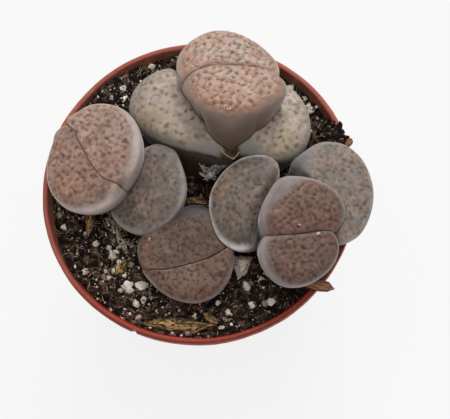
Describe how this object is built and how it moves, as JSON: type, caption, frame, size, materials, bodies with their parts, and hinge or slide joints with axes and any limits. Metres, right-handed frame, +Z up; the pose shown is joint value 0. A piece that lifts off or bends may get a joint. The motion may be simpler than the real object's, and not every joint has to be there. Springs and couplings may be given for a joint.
{
  "type": "potted lithops fulviceps",
  "caption": "Clump of living stones with paired, dotted cushion leaves, in soil in a small round tapered plastic pot.",
  "frame": {"origin": "centre of the pot's underside", "axes": "+Z up through the soil, +Y towards the back of the clump as pictured, +X to its right"},
  "size_m": [0.0841, 0.08, 0.0797],
  "materials": {
    "pot_plastic": "moulded terracotta-red plastic, a little dusty",
    "soil": "dark fibrous peat with grit",
    "salmon_leaf": "waxy, puckered",
    "tan_leaf": "waxy, dotted",
    "rose_leaf": "waxy, puckered and dotted",
    "khaki_leaf": "waxy, dotted",
    "grey_leaf": "waxy, dotted",
    "brown_leaf": "waxy, dotted",
    "dry_sheath": "dry papery skin",
    "dry_fibre": "dry fibrous",
    "perlite": "rough white grain",
    "husk": "dry striped husk"
  },
  "bodies": {
    "root": {"pot": "pot_plastic", "soil": "soil", "back_new_leaf_pair": "salmon_leaf", "left_new_leaf_pair": "tan_leaf", "right_new_leaf_pair": "rose_leaf", "back_old_leaf_pair": "khaki_leaf", "left_old_leaf_pair": "grey_leaf", "right_old_leaf_pair": "grey_leaf", "front_leaf_pair": "brown_leaf", "torn_sheath": "dry_sheath", "dried_flower_stalk": "dry_fibre", "perlite_01": "perlite", "perlite_02": "perlite", "perlite_03": "perlite", "perlite_04": "perlite", "perlite_05": "perlite", "perlite_06": "perlite", "perlite_07": "perlite", "perlite_08": "perlite", "perlite_09": "perlite", "perlite_10": "perlite", "perlite_11": "perlite", "perlite_12": "perlite", "perlite_13": "perlite", "perlite_14": "perlite", "perlite_15": "perlite", "perlite_16": "perlite", "perlite_17": "perlite", "perlite_18": "perlite", "perlite_19": "perlite", "perlite_20": "perlite", "husk_1": "husk", "husk_2": "husk", "husk_3": "husk", "husk_4": "husk", "husk_5": "husk", "husk_6": "husk", "husk_7": "husk"}
  },
  "joints": []
}
